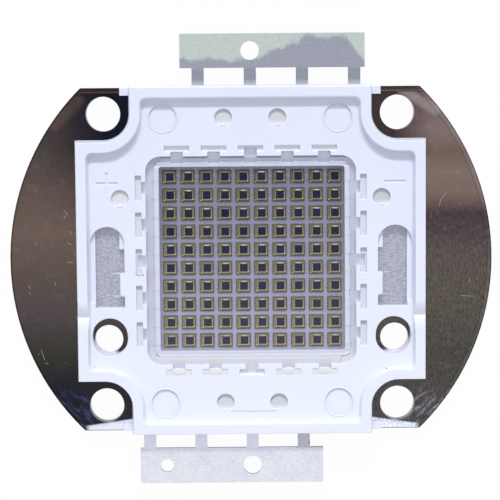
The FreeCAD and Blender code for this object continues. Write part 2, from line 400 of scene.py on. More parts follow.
def grainGroup():
    # fine surface grain, stretched along X, Y or neither
    group, entry, leave, coords = newGroup(
        "surface grain", {"Stretch": white, "Fine": 9000.0, "Coarse": 900.0}, ("Grain", "Clouds"))
    stretched = vectorMath("MULTIPLY", coords, entry["Stretch"])
    feed(leave["Grain"], noiseNode(stretched, entry["Fine"], *effects["grainDetail"]))
    feed(leave["Clouds"], noiseNode(coords, entry["Coarse"], *effects["cloudDetail"]))
    return group


def speckGroup():
    # a round spot of dirt or a dent at one place, seen from above
    group, entry, leave, coords = newGroup(
        "single speck", {"Place": (0.0, 0.0, 0.0), "Size": 0.2 * mm}, ("Mask",))
    away = vectorMath("DISTANCE", coords, entry["Place"])
    mask = times(minus(1.0, mathNode("DIVIDE", away, entry["Size"])), effects["speckSharpness"])
    feed(leave["Mask"], newNode(group, "Clamp", {"Value": mask}).outputs[0])
    return group


def strokeGroup():
    # one thin straight mark between two places, seen from above
    group, entry, leave, coords = newGroup(
        "single stroke", {"From": (0.0, 0.0, 0.0), "To": (mm, 0.0, 0.0), "Width": 0.05 * mm}, ("Mask",))
    along = vectorMath("SUBTRACT", entry["To"], entry["From"])
    away = vectorMath("SUBTRACT", vectorMath("MULTIPLY", coords, flatten), entry["From"])
    reach = vectorMath("DOT_PRODUCT", away, along)
    share = mathNode("DIVIDE", reach, vectorMath("DOT_PRODUCT", along, along))
    share.node.use_clamp = True
    gap = vectorMath("DISTANCE", away, scaled(along, share))
    mask = minus(effects["strokeFade"], mathNode("DIVIDE", gap, entry["Width"]))
    mask.node.use_clamp = True
    feed(leave["Mask"], mask)
    return group


def scratchGroup():
    # short bright scratches, thinned out by a noise mask
    group, entry, leave, coords = newGroup(
        "fine scratches", {"Stretch": (1.0, 0.15, 1.0), "Density": 0.5}, ("Mask",))
    warp = newNode(group, "TexNoise", {"Scale": effects["warpScale"], "Vector": coords})
    moved = vectorMath("ADD", coords, scaled(warp.outputs["Color"], effects["warpReach"]))
    inputs = {"Scale": effects["scratchScale"], "Vector": vectorMath("MULTIPLY", moved, entry["Stretch"])}
    cells = newNode(group, "TexVoronoi", inputs, feature="DISTANCE_TO_EDGE")
    line = under(cells.outputs["Distance"], effects["scratchWidth"])
    kept = above(noiseNode(coords, *effects["scratchMask"]), entry["Density"])
    feed(leave["Mask"], times(line, kept))
    return group


def dustGroup():
    # tiny round specks, kept in a share of the cells
    group, entry, leave, coords = newGroup("fine specks", {"Share": 0.2}, ("Mask",))
    inputs = {"Scale": effects["dustScale"], "Vector": vectorMath("MULTIPLY", coords, flatten)}
    cells = newNode(group, "TexVoronoi", inputs)
    draw = newNode(group, "SeparateColor", {0: cells.outputs["Color"]})
    dot = under(cells.outputs["Distance"], effects["dustSize"])
    feed(leave["Mask"], times(dot, under(draw.outputs[0], entry["Share"])))
    return group


surfaceGrain = grainGroup()
singleSpeck = speckGroup()
singleStroke = strokeGroup()
fineScratches = scratchGroup()
fineSpecks = dustGroup()


def useGroup(tree, group, values):
    return newNode(tree, "Group", values, node_tree=group).outputs


def grainAt(tree, fine, coarse, stretch=white):
    used = useGroup(tree, surfaceGrain, {"Stretch": stretch, "Fine": fine, "Coarse": coarse})
    return used["Grain"], used["Clouds"]


def strokeMask(tree, x1, y1, x2, y2, width):
    return useGroup(tree, singleStroke, {
        "From": (x1 * mm, y1 * mm, 0.0), "To": (x2 * mm, y2 * mm, 0.0), "Width": width * mm})["Mask"]


def newMaterial(name):
    material = bpy.data.materials.new(name)
    material.use_nodes = True
    return material, material.node_tree, material.node_tree.nodes["Principled BSDF"]


def setShader(shader, values):
    for name, value in values.items():
        feed(shader.inputs[name], value)


def mixShaders(tree, factor, first, second):
    mixed = newNode(tree, "MixShader", {0: factor, 1: first.outputs[0], 2: second.outputs[0]})
    feed(tree.nodes["Material Output"].inputs["Surface"], mixed.outputs[0])


def cloudyMaterial(name, scales, stops, finish):
    # a surface whose colour drifts between the tones of the stops
    material, tree, shader = newMaterial(name)
    clouds = grainAt(tree, *scales)[1]
    setShader(shader, {"Base Color": ramp(clouds, stops), **finish})
    return material


def localPlace(axis, shift, pitch=layout["pitch"]):
    # place inside one cell of the array, from the cell's middle
    return mathNode("WRAP", plus(axis, pitch / 2 - shift), pitch / 2, -pitch / 2)


def stemDistance(x):
    # distance from the middle of the nearest stem of the upper row of slots
    return absOf(localPlace(x, layout["tPitch"] / 2, layout["tPitch"]))


def carrierGap(x, y):
    # distance from the nearest carrier's outline, seen from above
    acrossX = absOf(localPlace(x, layout["arrayX"]))
    acrossY = absOf(localPlace(y, layout["arrayY"]))
    return diagonal(larger(minus(acrossX, layout["carrierLength"] / 2), 0.0),
                    larger(minus(acrossY, layout["carrierWidth"] / 2), 0.0))


# White moulding

moulding = {
    "edgeWidth": 0.06 * mm,
    "grain": (5200.0, 160.0),
    "spans": {
        "down": (20, -20),
        "turned": (-10.52, -10.9),
        "ring": (-11.4, 11.4),
        "fromStem": (0.6, 0.85),
        "upperRing": (11.08, 11.28),
        "wallHeight": (3.4, 3.7),
        "wallPlace": (18.4, 18.7),
        "across": (-15, 15),
    },
    "shadedTopColour": srgb(222, 227, 247),
    "litLowColour": srgb(231, 236, 253),
    "cloudShade": (0.96, 0.965, 0.97),
    "ringLightStops": (
        (0.0044, (1.2, 1.18, 1.05)), (0.0105, (1.18, 1.16, 1.04)), (0.0158, (0.87, 0.87, 0.88)),
        (0.0219, (0.84, 0.84, 0.85)), (0.0307, (0.7, 0.7, 0.72)), (0.0395, (0.74, 0.74, 0.76)),
        (0.048, (0.84, 0.84, 0.85)), (0.969, (0.86, 0.86, 0.87)), (0.978, (1.1, 1.1, 1.04)),
        (0.984, (0.82, 0.82, 0.83)), (0.9895, (0.78, 0.78, 0.79)), (0.9947, (0.86, 0.86, 0.87))),
    "ringLightBetweenStems": grey(1.5),
    "ringCorner": 10.52 * mm,
    "ringEdge": 11.6 * mm,
    "ringHeight": layout["ringTop"] + 0.05 * mm,
    "leadGapHeight": layout["sheetTop"] + 0.02 * mm,
    "leadGapTint": (0.85, 0.815, 0.715),
    "wallTop": 4.24 * mm,
    "litWallColour": srgb(248, 250, 255),
    "sideBars": 12.2 * mm,
    "barFilm": srgb(236, 239, 249),
    "sideBarFilm": srgb(213, 217, 228),
    "leftPitFilm": srgb(216, 218, 221),
    "rightPitFilm": srgb(196, 198, 203),
    "pitRows": (16.5, 7.28, -16.5),
    "pitBright": (-0.25, -0.95),
    "pitReach": 1.2,
    "pitFloor": 2.85 * mm,
    "filmDepth": 0.03 * mm,
    "speckPlaces": ((5.35, 13.1, 3.25), (15.63, -12.73, 3.25)),
    "speckSize": 0.2 * mm,
    "speckColour": srgb(105, 105, 115),
    "roughShare": 0.16,
    "roughness": 0.34,
    "bump": (0.2, 0.02 * mm),
    "finish": {
        "Subsurface Weight": 0.15,
        "Subsurface Radius": (0.4 * mm, 0.4 * mm, 0.5 * mm),
        "Subsurface Scale": 1.0,
        "IOR": 1.46,
    },
}


def paintedRingLight(x, y):
    # painted light and shade on the ring run from top to bottom, and follow the two rounded lower corners
    spans = moulding["spans"]
    corner = moulding["ringCorner"]
    overX, overY = (larger(minus(absOf(axis), corner), 0.0) for axis in (x, y))
    reach = plus(diagonal(overX, overY), corner)
    place = minus(y, times(plus(y, reach), span(y, spans["turned"])))
    colour = ramp(span(place, spans["ring"]), moulding["ringLightStops"])
    # painted light brightens the upper ring between the stems, where the window's wall casts its shadow
    besideStem = times(span(stemDistance(x), spans["fromStem"]), span(y, spans["upperRing"]))
    return tint(colour, mix(besideStem, white, moulding["ringLightBetweenStems"]))


def mouldingMaterial():
    material, tree, shader = newMaterial("white moulded plastic")
    x, y, z = objectAxes(tree)
    spans = moulding["spans"]
    grain, clouds = grainAt(tree, *moulding["grain"])
    # painted shade: the moulding is darker towards the top and lighter towards the bottom, after how the light
    # falls
    colour = mix(span(y, spans["down"]), moulding["shadedTopColour"], moulding["litLowColour"])
    colour = tint(colour, mix(clouds, moulding["cloudShade"], white))
    # the ring round the well stands under the silicone, which evens out the light on its edges; that light and
    # shade is painted into the ring's colour
    outward = larger(absOf(x), absOf(y))
    onRing = times(under(outward, moulding["ringEdge"]), under(z, moulding["ringHeight"]))
    betweenLeads = times(under(outward, layout["windowReach"]), under(z, moulding["leadGapHeight"]))
    ringTint = mix(betweenLeads, paintedRingLight(x, y), moulding["leadGapTint"])
    colour = mix(larger(onRing, betweenLeads), colour, tint(colour, ringTint))
    # painted light brightens the shaded wall of the upper rim, standing in for light scattered inside the plastic
    onWall = times(span(z, spans["wallHeight"]), span(y, spans["wallPlace"]))
    colour = mix(times(onWall, under(z, moulding["wallTop"])), colour, moulding["litWallColour"])
    # a thin film of silicone has run into the cross bars, and the pits show the metal through the plastic. The
    # film is lighter in the upper and lower cross bars than in the side ones, painted light that lifts their
    # shade, and the pits turn darker towards the right
    barFilm = mix(above(absOf(x), moulding["sideBars"]), moulding["barFilm"], moulding["sideBarFilm"])
    pitFilm = mix(span(x, spans["across"]), moulding["leftPitFilm"], moulding["rightPitFilm"])
    # painted light: the lower edge of each pit is brighter, where the light falls into it
    for row in moulding["pitRows"]:
        low = span(y, [row + limit for limit in moulding["pitBright"]])
        inRow = above(y, (row - moulding["pitReach"]) * mm)
        pitFilm = mix(times(low, inRow), pitFilm, moulding["litLowColour"])
    for level, film in ((layout["barFloor"], barFilm), (moulding["pitFloor"], pitFilm)):
        colour = mix(mathNode("COMPARE", z, level, moulding["filmDepth"] / 2), colour, film)
    for place in moulding["speckPlaces"]:
        speck = {"Place": tuple(value * mm for value in place), "Size": moulding["speckSize"]}
        colour = mix(useGroup(tree, singleSpeck, speck)["Mask"], colour, moulding["speckColour"])
    rough = mathNode("MULTIPLY_ADD", grain, moulding["roughShare"], moulding["roughness"])
    setShader(shader, {
        "Base Color": colour,
        "Roughness": rough,
        "Normal": bumpFrom(grain, *moulding["bump"]),
        **moulding["finish"],
    })
    return material


# Small lips of plastic that closed over the lower edge of each pit

lips = {
    "places": ((-3.1, 16.5), (3.1, 16.5), (-3.1, -16.5), (3.1, -16.5), (-15.06, 7.28), (15.06, 7.28)),
    "drop": 0.86 * mm,
    "size": (0.36 * mm, 0.2 * mm, 0.22 * mm),
    "level": 3.0 * mm,
    "segments": (20, 10),
}


def buildLips(plastic):
    pieces = []
    for x, y in lips["places"]:
        place = (x * mm, y * mm - lips["drop"], lips["level"])
        pieces.append(addSphere(lips["segments"], 1, place, lips["size"], plastic))
    finishJoined(pieces, "pitLips", [])


# Thin ridges that the ejector pins pressed up round their marks

ridges = {
    "places": ((-10.05, 16.5), (10.05, 16.5), (-10.05, -16.5), (10.05, -16.5)),
    "radius": 1.68 * mm,
    "thickness": 0.1 * mm,
    "sunk": 0.03 * mm,
    "segments": 72,
    "sides": 10,
}


def buildRidges(plastic):
    pieces = []
    for x, y in ridges["places"]:
        bpy.ops.mesh.primitive_torus_add(
            major_segments=ridges["segments"], minor_segments=ridges["sides"], major_radius=ridges["radius"],
            minor_radius=ridges["thickness"], location=(x * mm, y * mm, layout["floorTop"] - ridges["sunk"]))
        pieces.append(settleActive(material=plastic))
    finishJoined(pieces, "ejectorRidges", [])


# Nickel-plated copper base

basePlate = {
    "edgeWidth": 0.06 * mm,
    "spans": {
        "middle": (-1, 1),
        "down": (20, -20),
        "besideScrews": (21.2, 16.6),
        "aboveScrews": (11.4, 13.4),
        "streaksAcross": (17.5, 19.5),
        "streaksDown": (-14.6, -17.2),
        "flat": (19.2, 20),
        "flatEdge": (19.89, 19.96),
        "flatEnd": (19.6, 19),
        "flatStart": (19.26, 19.4),
        "shadeAcross": (-24.8, -20.3),
        "shadeDown": (3, 13),
        "brushed": (8.5, 4.5),
        "rim": (27.25, 28),
        "wellDown": (11, -11),
        "wellWall": (9.6, 9.95),
        "wellSide": (8.6, 9.3),
        "carrierShade": (0, 0.26),
        "flash": (0.7, 1.2),
    },
    "leftStops": (
        (0.0, srgb(60, 54, 60)), (0.18, srgb(76, 68, 66)), (0.3, srgb(96, 82, 77)), (0.42, srgb(106, 91, 84)),
        (0.54, srgb(92, 81, 75)), (0.65, srgb(81, 72, 74)), (0.77, srgb(57, 56, 51)), (0.89, srgb(34, 35, 45))),
    "rightStops": (
        (0.0, srgb(110, 92, 90)), (0.13, srgb(127, 110, 107)), (0.19, srgb(112, 93, 87)),
        (0.25, srgb(126, 108, 102)), (0.31, srgb(121, 102, 96)), (0.37, srgb(72, 62, 66)),
        (0.42, srgb(78, 70, 71)), (0.48, srgb(89, 81, 79)), (0.6, srgb(90, 84, 77)), (0.77, srgb(78, 75, 71)),
        (0.9, srgb(78, 74, 70))),
    "topCorners": (srgb(34, 36, 52), srgb(62, 52, 54)),
    "lowCorners": (srgb(46, 46, 49), srgb(76, 73, 77)),
    "slant": (0.75, 0.66),
    "streakStretch": 0.3,
    "streakNoise": (1900.0, 3, 0.6),
    "streakRange": (0.48, 0.66),
    "streakShare": 0.7,
    "topStrip": (
        (0.2, srgb(50, 44, 48)), (0.36, srgb(112, 93, 86)), (0.5, srgb(70, 58, 54)), (0.85, srgb(46, 39, 38)),
        (0.95, srgb(26, 24, 30))),
    "lowStrip": (
        (0.12, srgb(120, 120, 128)), (0.24, srgb(190, 192, 214)), (0.4, srgb(222, 226, 246)),
        (0.86, srgb(232, 236, 252))),
    "stripRise": (19 * mm, 0.145),
    "flatEdge": srgb(72, 68, 76),
    "patches": (
        ((17.6, 19.6, 21.4, 17.2, 0.5), srgb(156, 146, 147), 0.6),
        ((-22.6, 15.9, -19.9, 18.5, 0.65), srgb(104, 88, 80), 0.7)),
    "streakReflections": (srgb(72, 80, 124), srgb(148, 148, 172)),
    "smoothGrain": (5200.0, 900.0),
    "brushGrain": (4600.0, 240.0, (1.0, 0.4, 1.0)),
    "smoothStops": ((0.3, grey(0.88)), (0.7, grey(1.12))),
    "brushStops": ((0.35, (0.72, 0.72, 0.74)), (0.65, (1.28, 1.28, 1.26))),
    "blotchStops": ((0.55, white), (0.72, (1.12, 1.16, 1.3))),
    "rimReflectionStops": (
        (0.0, white), (0.3, (0.8, 0.79, 0.82)), (0.5, (1.15, 1.2, 1.26)), (0.75, (1.2, 1.26, 1.34)),
        (0.9, (0.42, 0.42, 0.47))),
    "leftRimReflectionStops": ((0.0, white), (0.6, white), (0.85, grey(0.5))),
    "wellEdge": 12.5 * mm,
    "wellTop": srgb(120, 124, 142),
    "wellLow": srgb(173, 175, 201),
    "wellGrain": (3200.0, 700.0),
    "wellMottle": ((0.3, grey(0.93)), (0.7, grey(1.07))),
    "wallLightShare": grey(1.32),
    "sideShare": grey(0.9),
    "carrierShadeStops": ((0.0, (0.66, 0.6, 0.6)), (0.3, (0.88, 0.86, 0.88)), (1.0, white)),
    "leftShade": (0.58, 0.57, 0.64),
    "speck": srgb(150, 146, 160),
    "speckDensity": 0.2,
    "speckShare": 0.5,
    "dowel": (16.66 * mm, -9.18 * mm),
    "flashLean": (0.45, 0.9),
    "flashReach": 2.6 * mm,
    "flash": srgb(226, 230, 245),
    "underTop": 0.072 * mm,
    "underStops": ((0.3, srgb(136, 132, 134)), (0.7, srgb(150, 146, 148))),
    "scratch": srgb(176, 170, 168),
    "scratchDensity": 0.68,
    "scratchShare": 0.14,
    "strokes": (
        (22.7, 7.6, 22.1, 6.9), (22.1, 6.9, 21.9, 6.1), (-24.9, 8.3, -24.8, 8.2), (-21.7, 5.9, -21.3, 5.5),
        (-21.3, 5.5, -21.7, 5.0), (-21.0, 3.5, -20.8, 3.1), (-21.3, 2.1, -20.9, 1.9), (-25.1, 2.1, -24.9, 2.0),
        (-21.4, -0.1, -20.8, -0.2), (-22.9, -2.4, -22.8, -2.8), (-26.0, -2.8, -25.7, -3.2),
        (-25.9, -3.6, -25.7, -3.9), (-24.6, -10.4, -24.2, -11.6), (-24.1, -11.9, -23.8, -12.1),
        (25.4, -2.4, 25.5, -2.9), (24.4, -4.4, 25.6, -4.5)),
    "strokeWidth": 0.026,
    "strokeShare": 0.7,
    "silveredShare": 0.7,
    "roughShare": 0.12,
    "roughness": 0.22,
    "bump": (0.1, 0.01 * mm),
}


def cornerReflections(wings, y, sideX, absX, absY):
    # painted reflections: round the screw holes the plate mirrors darker parts of the room, and strips of
    # reflected light and dark run along its flats, bright along the lower one
    spans = basePlate["spans"]
    sideY = span(y, spans["middle"])
    corner = mix(sideY, mix(sideX, *basePlate["lowCorners"]), mix(sideX, *basePlate["topCorners"]))
    near = times(span(absX, spans["besideScrews"]), span(absY, spans["aboveScrews"]))
    colour = mix(near, wings, corner)
    # painted reflections in slanting streaks at the lower corners
    wide, narrow = basePlate["slant"]
    along = plus(times(absX, wide), times(y, narrow))
    aside = minus(times(y, wide), times(absX, narrow))
    slanted = newNode(y.id_data, "CombineXYZ", {
        "X": times(along, basePlate["streakStretch"]), "Y": aside, "Z": sideX})
    streaks = noiseNode(slanted.outputs[0], *basePlate["streakNoise"])
    region = times(span(absX, spans["streaksAcross"]), span(y, spans["streaksDown"]))
    share = times(span(streaks, basePlate["streakRange"], 1), region, basePlate["streakShare"])
    colour = mix(share, colour, mix(sideX, *basePlate["streakReflections"]))
    for stroke, tone, strength in basePlate["patches"]:
        colour = mix(times(strokeMask(y.id_data, *stroke), strength), colour, tone)
    # the painted lower strip widens towards the frame
    start, slope = basePlate["stripRise"]
    lifted = plus(absY, larger(times(minus(start, absX), slope), 0.0))
    lowStrip = ramp(span(lifted, spans["flat"]), basePlate["lowStrip"])
    lowStrip = mix(span(absY, spans["flatEdge"]), lowStrip, basePlate["flatEdge"])
    strip = mix(sideY, lowStrip, ramp(span(absY, spans["flat"]), basePlate["topStrip"]))
    # the painted bright reflection along the lower flat ends short of the rounded sides
    whole = larger(sideY, span(absX, spans["flatEnd"]))
    height = mix(sideY, lifted, absY)
    return mix(times(span(height, spans["flatStart"]), whole), colour, strip)


def wellColour(x, y, absX):
    # silvered floor of the well, darker towards the sides; painted shade darkens it towards the top and close
    # round each carrier, and painted light lifts the strip below the ring's upper wall, where the ring casts its
    # shadow
    spans = basePlate["spans"]
    colour = mix(span(y, spans["wellDown"]), basePlate["wellTop"], basePlate["wellLow"])
    mottle = grainAt(x.id_data, *basePlate["wellGrain"])[0]
    colour = tint(colour, ramp(mottle, basePlate["wellMottle"]))
    colour = tint(colour, mix(span(y, spans["wellWall"]), white, basePlate["wallLightShare"]))
    colour = tint(colour, mix(span(absX, spans["wellSide"]), white, basePlate["sideShare"]))
    return tint(colour, ramp(span(carrierGap(x, y), spans["carrierShade"]), basePlate["carrierShadeStops"]))


def basePlateMaterial():
    material, tree, shader = newMaterial("brushed nickel plate")
    x, y, z = objectAxes(tree)
    absX, absY = absOf(x), absOf(y)
    spans = basePlate["spans"]
    sideX = span(x, spans["middle"])
    # painted reflection: the plate mirrors a dark room, so its brown shades run down each wing
    down = span(y, spans["down"])
    wings = mix(sideX, ramp(down, basePlate["leftStops"]), ramp(down, basePlate["rightStops"]))
    wings = cornerReflections(wings, y, sideX, absX, absY)
    # beside the frame the upper left wing is darker
    inner = times(span(x, spans["shadeAcross"]), span(y, spans["shadeDown"]))
    shade = times(inner, minus(1.0, sideX))
    wings = tint(wings, mix(shade, white, basePlate["leftShade"]))
    # the left wing is smoother than the right one, which shows short upright brush marks
    smooth, blotches = grainAt(tree, *basePlate["smoothGrain"])
    brushed, clouds = grainAt(tree, *basePlate["brushGrain"])
    fine = ramp(smooth, basePlate["smoothStops"])
    brushShare = times(sideX, span(y, spans["brushed"]))
    wings = tint(wings, mix(brushShare, fine, ramp(brushed, basePlate["brushStops"])))
    wings = tint(wings, ramp(blotches, basePlate["blotchStops"]))
    # painted reflections on the rolled edge, bright round the right wing and darker round the left wing
    radius = vectorMath("LENGTH", vectorMath("MULTIPLY", objectCoords(tree), flatten))
    onEdge = span(radius, spans["rim"])
    rolled = tint(wings, ramp(onEdge, basePlate["rimReflectionStops"]))
    wings = mix(sideX, tint(wings, ramp(onEdge, basePlate["leftRimReflectionStops"])), rolled)
    scratches = useGroup(tree, fineScratches, {"Density": basePlate["scratchDensity"]})["Mask"]
    wings = mix(times(scratches, basePlate["scratchShare"]), wings, basePlate["scratch"])
    dust = useGroup(tree, fineSpecks, {"Share": basePlate["speckDensity"]})["Mask"]
    wings = mix(times(dust, basePlate["speckShare"]), wings, basePlate["speck"])
    for stroke in basePlate["strokes"]:
        mark = strokeMask(tree, *stroke, basePlate["strokeWidth"])
        wings = mix(times(mark, basePlate["strokeShare"]), wings, basePlate["scratch"])
    inWell = under(larger(absX, absY), basePlate["wellEdge"])
    colour = mix(inWell, wings, wellColour(x, y, absX))
    # a flash of plastic has crept over the plate along the lower outer side of each dowel hole
    awayX, awayY = minus(absX, basePlate["dowel"][0]), minus(y, basePlate["dowel"][1])
    leanX, leanY = basePlate["flashLean"]
    outward = minus(times(awayX, leanX), times(awayY, leanY))
    close = under(diagonal(awayX, awayY), basePlate["flashReach"])
    flash = times(span(outward, spans["flash"]), close)
    colour = mix(flash, colour, basePlate["flash"])
    # the underside is plain plating
    underside = under(z, basePlate["underTop"])
    colour = mix(underside, colour, tint(ramp(clouds, basePlate["underStops"]), fine))
    bare = minus(1.0, times(inWell, basePlate["silveredShare"]))
    metal = times(bare, minus(1.0, flash))
    relief = times(brushed, minus(1.0, inWell))
    setShader(shader, {
        "Base Color": colour,
        "Metallic": larger(metal, underside),
        "Roughness": mathNode("MULTIPLY_ADD", smooth, basePlate["roughShare"], basePlate["roughness"]),
        "Normal": bumpFrom(relief, *basePlate["bump"]),
    })
    return material


# Tinned lead sheet

leads = {
    "edgeWidth": 0.03 * mm,
    "grain": (7800.0, 330.0, (0.32, 1.0, 1.0)),
    "spans": {
        "down": (12.5, -12.5),
        "columnStart": (11.2, 11.3),
        "columnEnd": (11.96, 11.82),
        "low": (-9.6, -11.3),
        "nearRingLight": (-11.9, -11.45),
        "ringFoot": (-11.52, -11.38),
        "ringFootEnd": (10.9, 10.4),
        "upperEdge": (11.8, 11.88),
        "columnSide": (0.85, 0.6),
        "tabAcross": (-8.2, 13.3),
        "tabUp": (22.2, 26.2),
        "foot": (20.9, 20.2),
    },
    "slotStops": ((0.32, srgb(142, 144, 158)), (0.68, srgb(194, 196, 210))),
    "bandShare": 0.88,
    "bandStops": ((0.0, srgb(198, 202, 223)), (0.5, srgb(193, 196, 214)), (0.96, srgb(203, 206, 221))),
    "stem": srgb(204, 210, 228),
    "sideStem": srgb(212, 216, 231),
    "litColumnShade": (0.72, 0.72, 0.73),
    "lowBand": srgb(207, 209, 215),
    "nearRingLight": srgb(211, 213, 219),
    "ringFoot": srgb(232, 233, 238),
    "upperEdgeShade": srgb(150, 153, 164),
    "slotReach": 13.8 * mm,
    "patchNoise": (700.0, 5, 0.62),
    "patchShare": 0.6,
    "polishRange": (0.22, 0.36),
    "cloudRange": (0.35, 0.65),
    "polishLine": ((0.0, grey(0.3)), (0.4, grey(0.25)), (0.67, grey(0.9)), (0.9, grey(0.86)), (0.99, grey(0.2))),
    "speckStops": ((0.35, grey(0.9)), (0.65, grey(1.08))),
    "endMarks": ((8.35, -22.6, 8.36, -26.0), (6.62, -21.37, 6.67, -21.62)),
    "endMarkWidth": 0.06,
    "endMark": srgb(84, 84, 94),
    "top": {"tab": srgb(182, 192, 190), "dark": srgb(146, 150, 164), "leg": srgb(135, 140, 152)},
    "bottom": {"tab": srgb(223, 227, 234), "dark": srgb(213, 216, 230), "leg": srgb(226, 228, 245)},
    "foot": srgb(196, 200, 208),
    "footShare": 0.75,
    "lastLeg": srgb(190, 191, 204),
    "lastLegStart": 5 * mm,
    "cutEdge": srgb(96, 97, 104),
    "frameEdge": 19.5 * mm,
    "bump": (0.35, 0.03 * mm),
    "finish": {"Metallic": 0.55, "Roughness": 0.45},
}


def bandColour(x, y, absX, inside):
    # the band round the ring, with painted light and shade: its tone shifts from top to bottom, and a painted dark
    # line of shade runs where the silicone meets the upper edge of the window
    spans = leads["spans"]
    band = mix(leads["bandShare"], inside, ramp(span(y, spans["down"]), leads["bandStops"]))
    low = span(y, spans["low"])
    band = mix(low, band, leads["lowBand"])
    # painted light lifts the band below the ring, where the ring casts its shadow, most of all beside the ring's
    # foot
    band = mix(times(low, span(y, spans["nearRingLight"])), band, leads["nearRingLight"])
    besideRing = times(span(y, spans["ringFoot"]), span(absX, spans["ringFootEnd"]))
    band = mix(times(low, besideRing), band, leads["ringFoot"])
    # painted shade darkens the band below each stem, where the lamp's light falls in through the stems' slots, so
    # that light looks spread by the silicone
    fromStem = stemDistance(x)
    column = times(span(y, spans["columnStart"]), span(y, spans["columnEnd"]), span(fromStem, spans["columnSide"]))
    band = tint(band, mix(column, white, leads["litColumnShade"]))
    # painted shade: a dark line along the upper edge of the window, beside the stems
    besideStem = above(fromStem, layout["stemWidth"] / 2)
    band = mix(times(span(y, spans["upperEdge"]), besideStem), band, leads["upperEdgeShade"])
    # painted light: the metal in the upper stems gets a lighter tone, lifting their shade in the deep slots
    band = mix(above(y, layout["windowReach"]), band, leads["stem"])
    band = mix(above(absX, layout["windowReach"]), band, leads["sideStem"])
    return mix(above(absX, leads["slotReach"]), band, inside)


def leadMaterial(name, colours):
    material, tree, shader = newMaterial(name)
    x, y, z = objectAxes(tree)
    absX, absY = absOf(x), absOf(y)
    spans = leads["spans"]
    ripples = grainAt(tree, *leads["grain"])[0]
    inner = bandColour(x, y, absX, ramp(ripples, leads["slotStops"]))
    # the upper tab is polished above a feathered slanting line, and the lower one is cloudy all over
    patches = noiseNode(objectCoords(tree), *leads["patchNoise"])
    line = ramp(span(x, spans["tabAcross"]), leads["polishLine"])
    feathered = plus(span(y, spans["tabUp"]), times(patches, leads["patchShare"]))
    polished = span(minus(feathered, line), leads["polishRange"], 1)
    onTop = above(y, 0.0)
    cloudy = span(patches, leads["cloudRange"], 1)
    lightShare = plus(times(polished, onTop), times(cloudy, minus(1.0, onTop)))
    tab = mix(lightShare, colours["dark"], colours["tab"])
    onLeg = under(absY, layout["legEnd"])
    tab = mix(onLeg, tab, colours["leg"])
    # the upper legs pale towards the moulding, and the last lower one is duller
    foot = times(span(y, spans["foot"]), onTop)
    tab = mix(times(foot, leads["footShare"]), tab, leads["foot"])
    lastLeg = times(minus(onLeg, onTop), above(x, leads["lastLegStart"]))
    tab = mix(larger(lastLeg, 0.0), tab, leads["lastLeg"])
    tab = tint(tab, ramp(ripples, leads["speckStops"]))
    for mark in leads["endMarks"]:
        tab = mix(strokeMask(tree, *mark, leads["endMarkWidth"]), tab, leads["endMark"])
    tab = mix(under(z, layout["sheetTop"] - leads["edgeWidth"]), tab, leads["cutEdge"])
    colour = mix(above(absY, leads["frameEdge"]), inner, tab)
    setShader(shader, {"Base Color": colour, "Normal": bumpFrom(ripples, *leads["bump"]), **leads["finish"]})
    return material


def buildLeads():
    for side, colours in (("cathode", leads["top"]), ("anode", leads["bottom"])):
        sheet = leadMaterial("tinned sheet " + side, colours)
        easedCopy(side + "_lead", side + "LeadEased", leads, sheet)


# Carriers and chips

chipLook = {
    "carrierEdge": 0.03 * mm,
    "carrierSegments": 1,
    "ringWidth": 0.12 * mm,
    "ringSlope": 0.2,
    "ringRise": 0.01 * mm,
    "windowDrop": 0.03 * mm,
    "windowShare": 0.6,
    "spans": {
        "down": (10, -10),
        "carrierLine": (0.09, 0.03),
        "glint": (0.36, 0.22),
        "lowRowsLight": (4, -10.5),
    },
    "carrierGrain": (4200.0, 900.0),
    "carrierTopTone": srgb(99, 93, 72),
    "carrierLowTone": srgb(143, 135, 108),
    "carrierMottle": ((0.3, (0.82, 0.81, 0.74)), (0.7, (1.16, 1.16, 1.14))),
    "carrierLine": srgb(86, 76, 66),
    "carrierBump": (0.3, 0.02 * mm),
    "carrierFinish": {"Metallic": 0.35, "Roughness": 0.4, "Specular IOR Level": 0.2},
    "ringGrain": (5200.0, 700.0),
    "ringTopTone": srgb(125, 121, 106),
    "ringLowTone": srgb(158, 152, 130),
    "ringMottle": ((0.3, (0.82, 0.81, 0.76)), (0.7, grey(1.16))),
    "borderStart": 0.4 * mm,
    "upperBorderShade": (0.56, 0.6, 0.74),
    "lowerBorderLight": (1.16, 1.12, 1.2),
    "glint": srgb(166, 165, 158),
    "glintDraw": 0.35,
    "ringFinish": {"Metallic": 0.35, "Roughness": 0.35, "Specular IOR Level": 0.3},
    "windowGrain": (6000.0, 900.0),
    "windowTones": (
        (0.0, srgb(31, 31, 65)), (0.3, srgb(38, 38, 68)), (0.55, srgb(43, 38, 57)), (0.8, srgb(48, 44, 53)),
        (1.0, srgb(35, 43, 73))),
    "windowLowLight": srgb(66, 65, 81),
    "windowMottle": ((0.3, grey(0.7)), (0.7, grey(1.3))),
    "windowFinish": {"Roughness": 0.35, "Specular IOR Level": 0.05},
}


def cellValue(x, y):
    # one random value for each chip
    cells = {}
    for name, axis in (("X", x), ("Y", y)):
        moved = minus(axis, layout["array" + name])
        cells[name] = mathNode("FLOOR", mathNode("DIVIDE", moved, layout["pitch"]))
    cell = newNode(x.id_data, "CombineXYZ", cells).outputs[0]
    return newNode(x.id_data, "TexWhiteNoise", {"Vector": cell}, noise_dimensions="2D").outputs["Value"]


